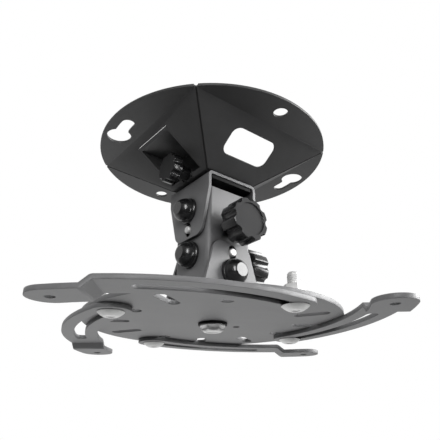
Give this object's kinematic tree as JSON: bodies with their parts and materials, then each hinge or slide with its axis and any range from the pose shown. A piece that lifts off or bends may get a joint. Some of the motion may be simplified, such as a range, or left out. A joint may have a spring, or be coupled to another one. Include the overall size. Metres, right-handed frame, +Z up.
{
  "type": "projector ceiling mount",
  "caption": "Ceiling mount for a projector: round folded ceiling plate, swivel head with screw-adjusted tilt and roll, and a slotted round plate with curved adjustable arms.",
  "frame": {"origin": "centre of the ceiling face, where the plate meets the ceiling", "axes": "+Z up into the ceiling, the front with the tilt knob is -Y, the pan lock knob is on the left at -X"},
  "size_m": [0.2292, 0.2292, 0.12],
  "materials": {
    "black_paint": "satin black powder coat",
    "grey_paint": "satin grey powder coat",
    "zinc": "bright zinc plate",
    "black_plastic": "moulded black plastic",
    "black_nylon": "matte black nylon"
  },
  "bodies": {
    "ceiling": {"ceiling_plate": "black_paint", "lock_pocket": "black_paint", "lock_bush": "black_paint"},
    "pan_lock": {"pan_lock_knob": "black_plastic", "pan_lock_screw": "zinc"},
    "head": {"upper_bracket": "grey_paint", "swivel_bolt": "zinc", "swivel_washer": "black_nylon", "swivel_pad": "black_nylon", "swivel_nut": "zinc", "tilt_pivot_bolt": "zinc", "tilt_pivot_nut": "zinc", "tilt_pivot_caps": "black_plastic"},
    "tilt_pin": {"tilt_trunnion": "zinc"},
    "tube": {"middle_tube": "grey_paint"},
    "tilt_adjuster": {"tilt_knob": "black_plastic", "tilt_screw": "zinc", "tilt_screw_nut": "zinc", "tilt_screw_cap": "black_plastic"},
    "roll_adjuster": {"roll_knob": "black_plastic", "roll_screw": "zinc", "roll_screw_nut": "zinc", "roll_screw_cap": "black_plastic"},
    "plate": {"projector_plate": "grey_paint", "lower_bracket": "grey_paint", "plate_spacer": "zinc", "plate_bolt": "zinc", "plate_bolt_washer": "black_nylon", "plate_nut": "zinc", "roll_pivot_bolt": "zinc", "roll_pivot_nut": "zinc", "roll_pivot_caps": "black_plastic"},
    "roll_pin": {"roll_trunnion": "zinc"},
    "clamp_front": {"clamp_nut_front": "zinc"},
    "screw_front": {"clamp_screw_front": "zinc"},
    "arm_front": {"arm_front": "grey_paint"},
    "clamp_left": {"clamp_nut_left": "zinc"},
    "screw_left": {"clamp_screw_left": "zinc"},
    "arm_left": {"arm_left": "grey_paint"},
    "clamp_back": {"clamp_nut_back": "zinc"},
    "screw_back": {"clamp_screw_back": "zinc"},
    "arm_back": {"arm_back": "grey_paint"},
    "clamp_right": {"clamp_nut_right": "zinc"},
    "screw_right": {"clamp_screw_right": "zinc"},
    "arm_right": {"arm_right": "grey_paint"}
  },
  "joints": [
    {"name": "pan", "type": "hinge", "parent": "ceiling", "child": "head", "pos_m": [0, 0, -0.025], "axis": [0, 0, 1], "continuous": true},
    {"name": "pan_lock_turn", "type": "hinge", "parent": "ceiling", "child": "pan_lock", "pos_m": [-0.03, 0, -0.021], "axis": [1, 0, 0], "range_deg": [0, 720]},
    {"name": "tilt", "type": "hinge", "parent": "head", "child": "tube", "pos_m": [0, 0, -0.0469], "axis": [1, 0, 0], "range_deg": [-10, 10]},
    {"name": "tilt_pin_turn", "type": "hinge", "parent": "head", "child": "tilt_pin", "pos_m": [0, 0, -0.0594], "axis": [1, 0, 0], "range_deg": [-12, 12]},
    {"name": "tilt_knob_turn", "type": "hinge", "parent": "tube", "child": "tilt_adjuster", "pos_m": [0, 0, -0.0594], "axis": [0, 1, 0], "range_deg": [-800, 800]},
    {"name": "roll", "type": "hinge", "parent": "tube", "child": "plate", "pos_m": [0, 0, -0.0879], "axis": [0, 1, 0], "range_deg": [-10, 10]},
    {"name": "roll_pin_turn", "type": "hinge", "parent": "plate", "child": "roll_pin", "pos_m": [0, 0, -0.0754], "axis": [0, 1, 0], "range_deg": [-12, 12]},
    {"name": "roll_knob_turn", "type": "hinge", "parent": "tube", "child": "roll_adjuster", "pos_m": [0, 0, -0.0754], "axis": [-1, 0, 0], "range_deg": [-800, 800]},
    {"name": "clamp_slide_front", "type": "slide", "parent": "plate", "child": "clamp_front", "axis": [0, 1, 0], "range_m": [0, 0.005]},
    {"name": "arm_swing_front", "type": "hinge", "parent": "clamp_front", "child": "screw_front", "pos_m": [0, -0.065, -0.1139], "axis": [0, 0, 1], "range_deg": [0, 75]},
    {"name": "arm_reach_front", "type": "hinge", "parent": "screw_front", "child": "arm_front", "pos_m": [-0.01199, 0.0549, -0.11515], "axis": [0, 0, 1], "range_deg": [0, 7]},
    {"name": "clamp_slide_left", "type": "slide", "parent": "plate", "child": "clamp_left", "axis": [1, 0, 0], "range_m": [0, 0.005]},
    {"name": "arm_swing_left", "type": "hinge", "parent": "clamp_left", "child": "screw_left", "pos_m": [-0.065, 0, -0.1139], "axis": [0, 0, 1], "range_deg": [0, 75]},
    {"name": "arm_reach_left", "type": "hinge", "parent": "screw_left", "child": "arm_left", "pos_m": [0.0549, 0.01199, -0.11515], "axis": [0, 0, 1], "range_deg": [0, 7]},
    {"name": "clamp_slide_back", "type": "slide", "parent": "plate", "child": "clamp_back", "axis": [0, -1, 0], "range_m": [0, 0.005]},
    {"name": "arm_swing_back", "type": "hinge", "parent": "clamp_back", "child": "screw_back", "pos_m": [0, 0.065, -0.1139], "axis": [0, 0, 1], "range_deg": [0, 75]},
    {"name": "arm_reach_back", "type": "hinge", "parent": "screw_back", "child": "arm_back", "pos_m": [0.01199, -0.0549, -0.11515], "axis": [0, 0, 1], "range_deg": [0, 7]},
    {"name": "clamp_slide_right", "type": "slide", "parent": "plate", "child": "clamp_right", "axis": [-1, 0, 0], "range_m": [0, 0.005]},
    {"name": "arm_swing_right", "type": "hinge", "parent": "clamp_right", "child": "screw_right", "pos_m": [0.065, 0, -0.1139], "axis": [0, 0, 1], "range_deg": [0, 75]},
    {"name": "arm_reach_right", "type": "hinge", "parent": "screw_right", "child": "arm_right", "pos_m": [-0.0549, -0.01199, -0.11515], "axis": [0, 0, 1], "range_deg": [0, 7]}
  ],
  "couplings": [
    {"joint": "tilt_pin_turn", "follows": "tilt", "ratio": 1},
    {"joint": "tilt_knob_turn", "follows": "tilt", "ratio": 78.54},
    {"joint": "roll_pin_turn", "follows": "roll", "ratio": -1},
    {"joint": "roll_knob_turn", "follows": "roll", "ratio": 78.54}
  ]
}
